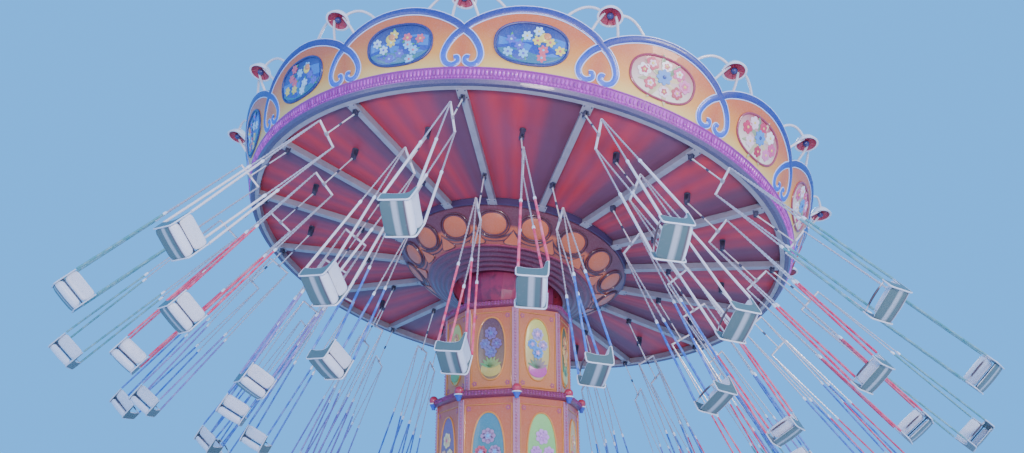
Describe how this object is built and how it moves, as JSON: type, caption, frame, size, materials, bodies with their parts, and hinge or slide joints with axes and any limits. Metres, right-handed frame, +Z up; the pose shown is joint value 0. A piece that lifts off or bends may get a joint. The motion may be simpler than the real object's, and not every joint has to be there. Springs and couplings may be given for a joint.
{
  "type": "chair swing ride",
  "caption": "Fairground wave swinger with a lifting, tilting octagonal tower, a turning canopy with arched rounding boards, and rings of chain-hung chairs.",
  "frame": {"origin": "centre of the base's underside, on the tower's centre line", "axes": "+Z up; the picture is taken looking along +Y, with +X to the right"},
  "size_m": [17.8783, 17.753, 11.3192],
  "materials": {
    "base_steel": "satin grey paint",
    "lower_tower_panel": "gloss fairground paint",
    "upper_tower_panel": "gloss fairground paint",
    "head_paint": "satin maroon paint",
    "strut_paint": "satin pale grey paint",
    "soffit_paint": "satin crimson panels",
    "roof_sheet": "coated roof cloth",
    "crown_paint": "gloss paint on moulded panels",
    "funnel_paint": "satin maroon paint",
    "trim_paint": "gloss magenta",
    "board_paint": "gloss paint on moulded boards",
    "chair_shell": "moulded seat shell"
  },
  "bodies": {
    "base": {"base_plinth": "base_steel", "lower_tower": "lower_tower_panel"},
    "tower_lift": {"upper_tower": "upper_tower_panel", "tilt_cradle": "head_paint"},
    "tilt_unit": {"tilt_head": "head_paint"},
    "canopy": {"sweep_frame": "strut_paint", "soffit": "soffit_paint", "roof": "roof_sheet", "hub_crown": "crown_paint", "hub_funnel": "funnel_paint", "rim_trim": "trim_paint", "rounding_boards": "board_paint"},
    "outer_chair_01": {"outer_chair_01": "chair_shell"},
    "outer_chair_02": {"outer_chair_02": "chair_shell"},
    "outer_chair_03": {"outer_chair_03": "chair_shell"},
    "outer_chair_04": {"outer_chair_04": "chair_shell"},
    "outer_chair_05": {"outer_chair_05": "chair_shell"},
    "outer_chair_06": {"outer_chair_06": "chair_shell"},
    "outer_chair_07": {"outer_chair_07": "chair_shell"},
    "outer_chair_08": {"outer_chair_08": "chair_shell"},
    "outer_chair_09": {"outer_chair_09": "chair_shell"},
    "outer_chair_10": {"outer_chair_10": "chair_shell"},
    "outer_chair_11": {"outer_chair_11": "chair_shell"},
    "outer_chair_12": {"outer_chair_12": "chair_shell"},
    "outer_chair_13": {"outer_chair_13": "chair_shell"},
    "outer_chair_14": {"outer_chair_14": "chair_shell"},
    "outer_chair_15": {"outer_chair_15": "chair_shell"},
    "outer_chair_16": {"outer_chair_16": "chair_shell"},
    "mid_chair_01": {"mid_chair_01": "chair_shell"},
    "mid_chair_02": {"mid_chair_02": "chair_shell"},
    "mid_chair_03": {"mid_chair_03": "chair_shell"},
    "mid_chair_04": {"mid_chair_04": "chair_shell"},
    "mid_chair_05": {"mid_chair_05": "chair_shell"},
    "mid_chair_06": {"mid_chair_06": "chair_shell"},
    "mid_chair_07": {"mid_chair_07": "chair_shell"},
    "mid_chair_08": {"mid_chair_08": "chair_shell"},
    "mid_chair_09": {"mid_chair_09": "chair_shell"},
    "mid_chair_10": {"mid_chair_10": "chair_shell"},
    "mid_chair_11": {"mid_chair_11": "chair_shell"},
    "mid_chair_12": {"mid_chair_12": "chair_shell"},
    "mid_chair_13": {"mid_chair_13": "chair_shell"},
    "mid_chair_14": {"mid_chair_14": "chair_shell"},
    "mid_chair_15": {"mid_chair_15": "chair_shell"},
    "mid_chair_16": {"mid_chair_16": "chair_shell"},
    "inner_chair_01": {"inner_chair_01": "chair_shell"},
    "inner_chair_02": {"inner_chair_02": "chair_shell"},
    "inner_chair_03": {"inner_chair_03": "chair_shell"},
    "inner_chair_04": {"inner_chair_04": "chair_shell"},
    "inner_chair_05": {"inner_chair_05": "chair_shell"},
    "inner_chair_06": {"inner_chair_06": "chair_shell"},
    "inner_chair_07": {"inner_chair_07": "chair_shell"},
    "inner_chair_08": {"inner_chair_08": "chair_shell"},
    "inner_chair_09": {"inner_chair_09": "chair_shell"},
    "inner_chair_10": {"inner_chair_10": "chair_shell"},
    "inner_chair_11": {"inner_chair_11": "chair_shell"},
    "inner_chair_12": {"inner_chair_12": "chair_shell"},
    "inner_chair_13": {"inner_chair_13": "chair_shell"},
    "inner_chair_14": {"inner_chair_14": "chair_shell"},
    "inner_chair_15": {"inner_chair_15": "chair_shell"},
    "inner_chair_16": {"inner_chair_16": "chair_shell"}
  },
  "joints": [
    {"name": "tower_slide", "type": "slide", "parent": "base", "child": "tower_lift", "axis": [0, 0, 1], "range_m": [-1.6, 0]},
    {"name": "canopy_tilt", "type": "hinge", "parent": "tower_lift", "child": "tilt_unit", "pos_m": [0, 0, 7.47], "axis": [-0.808, 0.5892, 0], "range_deg": [-13.8, 1]},
    {"name": "canopy_spin", "type": "hinge", "parent": "tilt_unit", "child": "canopy", "pos_m": [0, 0, 7.47], "axis": [0.1405, 0.1927, 0.9711], "continuous": true},
    {"name": "outer_chair_01_swing", "type": "hinge", "parent": "canopy", "child": "outer_chair_01", "pos_m": [2.95019, 4.57329, 6.9901], "axis": [0.8351, -0.55, -0.0117], "range_deg": [-58.78, 4]},
    {"name": "outer_chair_02_swing", "type": "hinge", "parent": "canopy", "child": "outer_chair_02", "pos_m": [0.9995, 5.35956, 7.11636], "axis": [0.9631, -0.2538, -0.089], "range_deg": [-57.66, 3.97]},
    {"name": "outer_chair_03_swing", "type": "hinge", "parent": "canopy", "child": "outer_chair_03", "pos_m": [-1.0856, 5.35423, 7.41917], "axis": [0.9854, 0.0679, -0.1561], "range_deg": [-54.86, 3.78]},
    {"name": "outer_chair_04_swing", "type": "hinge", "parent": "canopy", "child": "outer_chair_04", "pos_m": [-2.98766, 4.55813, 7.85243], "axis": [0.9004, 0.383, -0.2063], "range_deg": [-50.8, 3.5]},
    {"name": "outer_chair_05_swing", "type": "hinge", "parent": "canopy", "child": "outer_chair_05", "pos_m": [-4.41712, 3.09244, 8.35019], "axis": [0.7093, 0.6647, -0.2346], "range_deg": [-45.93, 3.17]},
    {"name": "outer_chair_06_swing", "type": "hinge", "parent": "canopy", "child": "outer_chair_06", "pos_m": [-5.15636, 1.18032, 8.83665], "axis": [0.4092, 0.8819, -0.2342], "range_deg": [-40.73, 2.82]},
    {"name": "outer_chair_07_swing", "type": "hinge", "parent": "canopy", "child": "outer_chair_07", "pos_m": [-5.09282, -0.88715, 9.23777], "axis": [0.0016, 0.9808, -0.1949], "range_deg": [-35.86, 2.49]},
    {"name": "outer_chair_08_swing", "type": "hinge", "parent": "canopy", "child": "outer_chair_08", "pos_m": [-4.2362, -2.7952, 9.49247], "axis": [-0.4671, 0.8778, -0.1066], "range_deg": [-32.33, 2.25]},
    {"name": "outer_chair_09_swing", "type": "hinge", "parent": "canopy", "child": "outer_chair_09", "pos_m": [-2.71688, -4.25335, 9.56199], "axis": [-0.8516, 0.5238, 0.0193], "range_deg": [-31.28, 2.17]},
    {"name": "outer_chair_10_swing", "type": "hinge", "parent": "canopy", "child": "outer_chair_10", "pos_m": [-0.76619, -5.03962, 9.43572], "axis": [-0.9901, 0.0285, 0.1376], "range_deg": [-33.15, 2.3]},
    {"name": "outer_chair_11_swing", "type": "hinge", "parent": "canopy", "child": "outer_chair_11", "pos_m": [1.3189, -5.0343, 9.13291], "axis": [-0.8821, -0.421, 0.2112], "range_deg": [-37.2, 2.58]},
    {"name": "outer_chair_12_swing", "type": "hinge", "parent": "canopy", "child": "outer_chair_12", "pos_m": [3.22096, -4.23819, 8.69965], "axis": [-0.6322, -0.7374, 0.2378], "range_deg": [-42.26, 2.92]},
    {"name": "outer_chair_13_swing", "type": "hinge", "parent": "canopy", "child": "outer_chair_13", "pos_m": [4.65042, -2.77251, 8.20189], "axis": [-0.3217, -0.9188, 0.2289], "range_deg": [-47.42, 3.27]},
    {"name": "outer_chair_14_swing", "type": "hinge", "parent": "canopy", "child": "outer_chair_14", "pos_m": [5.38966, -0.86038, 7.71543], "axis": [0.0074, -0.981, 0.1936], "range_deg": [-52.1, 3.59]},
    {"name": "outer_chair_15_swing", "type": "hinge", "parent": "canopy", "child": "outer_chair_15", "pos_m": [5.32613, 1.20709, 7.31431], "axis": [0.3285, -0.9344, 0.1379], "range_deg": [-55.83, 3.85]},
    {"name": "outer_chair_16_swing", "type": "hinge", "parent": "canopy", "child": "outer_chair_16", "pos_m": [4.4695, 3.11514, 7.05961], "axis": [0.6146, -0.786, 0.067], "range_deg": [-58.19, 4.01]},
    {"name": "mid_chair_01_swing", "type": "hinge", "parent": "canopy", "child": "mid_chair_01", "pos_m": [1.68284, 4.21796, 7.20284], "axis": [0.9088, -0.4143, -0.0493], "range_deg": [-53.48, 3.69]},
    {"name": "mid_chair_02_swing", "type": "hinge", "parent": "canopy", "child": "mid_chair_02", "pos_m": [-0.02406, 4.54825, 7.38431], "axis": [0.9863, -0.1131, -0.1203], "range_deg": [-51.52, 3.55]},
    {"name": "mid_chair_03_swing", "type": "hinge", "parent": "canopy", "child": "mid_chair_03", "pos_m": [-1.7104, 4.20929, 7.69563], "axis": [0.9636, 0.1989, -0.1789], "range_deg": [-48.14, 3.32]},
    {"name": "mid_chair_04_swing", "type": "hinge", "parent": "canopy", "child": "mid_chair_04", "pos_m": [-3.11944, 3.25269, 8.08939], "axis": [0.8398, 0.4963, -0.22], "range_deg": [-43.72, 3.02]},
    {"name": "mid_chair_05_swing", "type": "hinge", "parent": "canopy", "child": "mid_chair_05", "pos_m": [-4.03667, 1.82407, 8.50566], "axis": [0.6106, 0.7553, -0.2383], "range_deg": [-38.66, 2.68]},
    {"name": "mid_chair_06_swing", "type": "hinge", "parent": "canopy", "child": "mid_chair_06", "pos_m": [-4.32245, 0.14094, 8.88106], "axis": [0.2651, 0.9377, -0.2245], "range_deg": [-33.48, 2.33]},
    {"name": "mid_chair_07_swing", "type": "hinge", "parent": "canopy", "child": "mid_chair_07", "pos_m": [-3.93327, -1.54048, 9.15843], "axis": [-0.1929, 0.9674, -0.1641], "range_deg": [-28.99, 2.02]},
    {"name": "mid_chair_08_swing", "type": "hinge", "parent": "canopy", "child": "mid_chair_08", "pos_m": [-2.92839, -2.96418, 9.29556], "axis": [-0.673, 0.738, -0.0491], "range_deg": [-26.45, 1.85]},
    {"name": "mid_chair_09_swing", "type": "hinge", "parent": "canopy", "child": "mid_chair_09", "pos_m": [-1.46078, -3.91344, 9.27155], "axis": [-0.9617, 0.2599, 0.0876], "range_deg": [-26.92, 1.88]},
    {"name": "mid_chair_10_swing", "type": "hinge", "parent": "canopy", "child": "mid_chair_10", "pos_m": [0.24612, -4.24373, 9.09008], "axis": [-0.9492, -0.2528, 0.1875], "range_deg": [-30.17, 2.1]},
    {"name": "mid_chair_11_swing", "type": "hinge", "parent": "canopy", "child": "mid_chair_11", "pos_m": [1.93245, -3.90477, 8.77876], "axis": [-0.7369, -0.6347, 0.2326], "range_deg": [-34.97, 2.43]},
    {"name": "mid_chair_12_swing", "type": "hinge", "parent": "canopy", "child": "mid_chair_12", "pos_m": [3.34149, -2.94817, 8.385], "axis": [-0.4415, -0.8657, 0.2357], "range_deg": [-40.18, 2.78]},
    {"name": "mid_chair_13_swing", "type": "hinge", "parent": "canopy", "child": "mid_chair_13", "pos_m": [4.25872, -1.51955, 7.96873], "axis": [-0.1211, -0.9702, 0.2101], "range_deg": [-45.1, 3.12]},
    {"name": "mid_chair_14_swing", "type": "hinge", "parent": "canopy", "child": "mid_chair_14", "pos_m": [4.54451, 0.16358, 7.59333], "axis": [0.1971, -0.9667, 0.1633], "range_deg": [-49.26, 3.4]},
    {"name": "mid_chair_15_swing", "type": "hinge", "parent": "canopy", "child": "mid_chair_15", "pos_m": [4.15533, 1.84499, 7.31596], "axis": [0.4918, -0.8649, 0.1005], "range_deg": [-52.26, 3.6]},
    {"name": "mid_chair_16_swing", "type": "hinge", "parent": "canopy", "child": "mid_chair_16", "pos_m": [3.15045, 3.2687, 7.17884], "axis": [0.7378, -0.6745, 0.0271], "range_deg": [-53.74, 3.7]},
    {"name": "inner_chair_01_swing", "type": "hinge", "parent": "canopy", "child": "inner_chair_01", "pos_m": [1.83214, 2.83588, 7.34019], "axis": [0.8318, -0.555, -0.0102], "range_deg": [-43.83, 3.03]},
    {"name": "inner_chair_02_swing", "type": "hinge", "parent": "canopy", "child": "inner_chair_02", "pos_m": [0.63644, 3.31783, 7.41759], "axis": [0.951, -0.299, -0.0783], "range_deg": [-42.81, 2.96]},
    {"name": "inner_chair_03_swing", "type": "hinge", "parent": "canopy", "child": "inner_chair_03", "pos_m": [-0.64165, 3.31456, 7.6032], "axis": [0.99, -0.0189, -0.1395], "range_deg": [-40.32, 2.79]},
    {"name": "inner_chair_04_swing", "type": "hinge", "parent": "canopy", "child": "inner_chair_04", "pos_m": [-1.80754, 2.82658, 7.86877], "axis": [0.9453, 0.2655, -0.1895], "range_deg": [-36.65, 2.54]},
    {"name": "inner_chair_05_swing", "type": "hinge", "parent": "canopy", "child": "inner_chair_05", "pos_m": [-2.68375, 1.92817, 8.17388], "axis": [0.8118, 0.5391, -0.2245], "range_deg": [-32.09, 2.23]},
    {"name": "inner_chair_06_swing", "type": "hinge", "parent": "canopy", "child": "inner_chair_06", "pos_m": [-3.13687, 0.75611, 8.47206], "axis": [0.5726, 0.7844, -0.2385], "range_deg": [-26.96, 1.88]},
    {"name": "inner_chair_07_swing", "type": "hinge", "parent": "canopy", "child": "inner_chair_07", "pos_m": [-3.09793, -0.51117, 8.71793], "axis": [0.1923, 0.9569, -0.2177], "range_deg": [-21.78, 1.53]},
    {"name": "inner_chair_08_swing", "type": "hinge", "parent": "canopy", "child": "inner_chair_08", "pos_m": [-2.57285, -1.68074, 8.87406], "axis": [-0.3504, 0.9271, -0.1333], "range_deg": [-17.63, 1.25]},
    {"name": "inner_chair_09_swing", "type": "hinge", "parent": "canopy", "child": "inner_chair_09", "pos_m": [-1.64156, -2.57453, 8.91667], "axis": [-0.8641, 0.5027, 0.0253], "range_deg": [-16.29, 1.16]},
    {"name": "inner_chair_10_swing", "type": "hinge", "parent": "canopy", "child": "inner_chair_10", "pos_m": [-0.44586, -3.05648, 8.83927], "axis": [-0.9778, -0.1268, 0.1667], "range_deg": [-18.64, 1.31]},
    {"name": "inner_chair_11_swing", "type": "hinge", "parent": "canopy", "child": "inner_chair_11", "pos_m": [0.83222, -3.05322, 8.65366], "axis": [-0.7768, -0.5867, 0.2289], "range_deg": [-23.26, 1.63]},
    {"name": "inner_chair_12_swing", "type": "hinge", "parent": "canopy", "child": "inner_chair_12", "pos_m": [1.99812, -2.56524, 8.38808], "axis": [-0.4824, -0.8433, 0.2372], "range_deg": [-28.5, 1.99]},
    {"name": "inner_chair_13_swing", "type": "hinge", "parent": "canopy", "child": "inner_chair_13", "pos_m": [2.87432, -1.66683, 8.08298], "axis": [-0.1756, -0.9605, 0.216], "range_deg": [-33.5, 2.33]},
    {"name": "inner_chair_14_swing", "type": "hinge", "parent": "canopy", "child": "inner_chair_14", "pos_m": [3.32745, -0.49476, 7.78479], "axis": [0.1219, -0.9768, 0.1762], "range_deg": [-37.83, 2.62]},
    {"name": "inner_chair_15_swing", "type": "hinge", "parent": "canopy", "child": "inner_chair_15", "pos_m": [3.2885, 0.77252, 7.53892], "axis": [0.3992, -0.9086, 0.1226], "range_deg": [-41.19, 2.85]},
    {"name": "inner_chair_16_swing", "type": "hinge", "parent": "canopy", "child": "inner_chair_16", "pos_m": [2.76342, 1.94208, 7.3828], "axis": [0.642, -0.7644, 0.0588], "range_deg": [-43.27, 2.99]}
  ],
  "couplings": [
    {"joint": "outer_chair_02_swing", "follows": "outer_chair_01_swing", "ratio": 0.98007},
    {"joint": "outer_chair_03_swing", "follows": "outer_chair_01_swing", "ratio": 0.93241},
    {"joint": "outer_chair_04_swing", "follows": "outer_chair_01_swing", "ratio": 0.86344},
    {"joint": "outer_chair_05_swing", "follows": "outer_chair_01_swing", "ratio": 0.78059},
    {"joint": "outer_chair_06_swing", "follows": "outer_chair_01_swing", "ratio": 0.69205},
    {"joint": "outer_chair_07_swing", "follows": "outer_chair_01_swing", "ratio": 0.60919},
    {"joint": "outer_chair_08_swing", "follows": "outer_chair_01_swing", "ratio": 0.54913},
    {"joint": "outer_chair_09_swing", "follows": "outer_chair_01_swing", "ratio": 0.53135},
    {"joint": "outer_chair_10_swing", "follows": "outer_chair_01_swing", "ratio": 0.56317},
    {"joint": "outer_chair_11_swing", "follows": "outer_chair_01_swing", "ratio": 0.63201},
    {"joint": "outer_chair_12_swing", "follows": "outer_chair_01_swing", "ratio": 0.71804},
    {"joint": "outer_chair_13_swing", "follows": "outer_chair_01_swing", "ratio": 0.80588},
    {"joint": "outer_chair_14_swing", "follows": "outer_chair_01_swing", "ratio": 0.88545},
    {"joint": "outer_chair_15_swing", "follows": "outer_chair_01_swing", "ratio": 0.94892},
    {"joint": "outer_chair_16_swing", "follows": "outer_chair_01_swing", "ratio": 0.98902},
    {"joint": "mid_chair_01_swing", "follows": "outer_chair_01_swing", "ratio": 0.90898},
    {"joint": "mid_chair_02_swing", "follows": "outer_chair_01_swing", "ratio": 0.87569},
    {"joint": "mid_chair_03_swing", "follows": "outer_chair_01_swing", "ratio": 0.8182},
    {"joint": "mid_chair_04_swing", "follows": "outer_chair_01_swing", "ratio": 0.74294},
    {"joint": "mid_chair_05_swing", "follows": "outer_chair_01_swing", "ratio": 0.65686},
    {"joint": "mid_chair_06_swing", "follows": "outer_chair_01_swing", "ratio": 0.56868},
    {"joint": "mid_chair_07_swing", "follows": "outer_chair_01_swing", "ratio": 0.4924},
    {"joint": "mid_chair_08_swing", "follows": "outer_chair_01_swing", "ratio": 0.44916},
    {"joint": "mid_chair_09_swing", "follows": "outer_chair_01_swing", "ratio": 0.45707},
    {"joint": "mid_chair_10_swing", "follows": "outer_chair_01_swing", "ratio": 0.5124},
    {"joint": "mid_chair_11_swing", "follows": "outer_chair_01_swing", "ratio": 0.59408},
    {"joint": "mid_chair_12_swing", "follows": "outer_chair_01_swing", "ratio": 0.68278},
    {"joint": "mid_chair_13_swing", "follows": "outer_chair_01_swing", "ratio": 0.76646},
    {"joint": "mid_chair_14_swing", "follows": "outer_chair_01_swing", "ratio": 0.8372},
    {"joint": "mid_chair_15_swing", "follows": "outer_chair_01_swing", "ratio": 0.88823},
    {"joint": "mid_chair_16_swing", "follows": "outer_chair_01_swing", "ratio": 0.91339},
    {"joint": "inner_chair_01_swing", "follows": "outer_chair_01_swing", "ratio": 0.74485},
    {"joint": "inner_chair_02_swing", "follows": "outer_chair_01_swing", "ratio": 0.72738},
    {"joint": "inner_chair_03_swing", "follows": "outer_chair_01_swing", "ratio": 0.68512},
    {"joint": "inner_chair_04_swing", "follows": "outer_chair_01_swing", "ratio": 0.62266},
    {"joint": "inner_chair_05_swing", "follows": "outer_chair_01_swing", "ratio": 0.54505},
    {"joint": "inner_chair_06_swing", "follows": "outer_chair_01_swing", "ratio": 0.45782},
    {"joint": "inner_chair_07_swing", "follows": "outer_chair_01_swing", "ratio": 0.36976},
    {"joint": "inner_chair_08_swing", "follows": "outer_chair_01_swing", "ratio": 0.29909},
    {"joint": "inner_chair_09_swing", "follows": "outer_chair_01_swing", "ratio": 0.27633},
    {"joint": "inner_chair_10_swing", "follows": "outer_chair_01_swing", "ratio": 0.31635},
    {"joint": "inner_chair_11_swing", "follows": "outer_chair_01_swing", "ratio": 0.39486},
    {"joint": "inner_chair_12_swing", "follows": "outer_chair_01_swing", "ratio": 0.484},
    {"joint": "inner_chair_13_swing", "follows": "outer_chair_01_swing", "ratio": 0.56908},
    {"joint": "inner_chair_14_swing", "follows": "outer_chair_01_swing", "ratio": 0.64278},
    {"joint": "inner_chair_15_swing", "follows": "outer_chair_01_swing", "ratio": 0.69984},
    {"joint": "inner_chair_16_swing", "follows": "outer_chair_01_swing", "ratio": 0.73524}
  ]
}
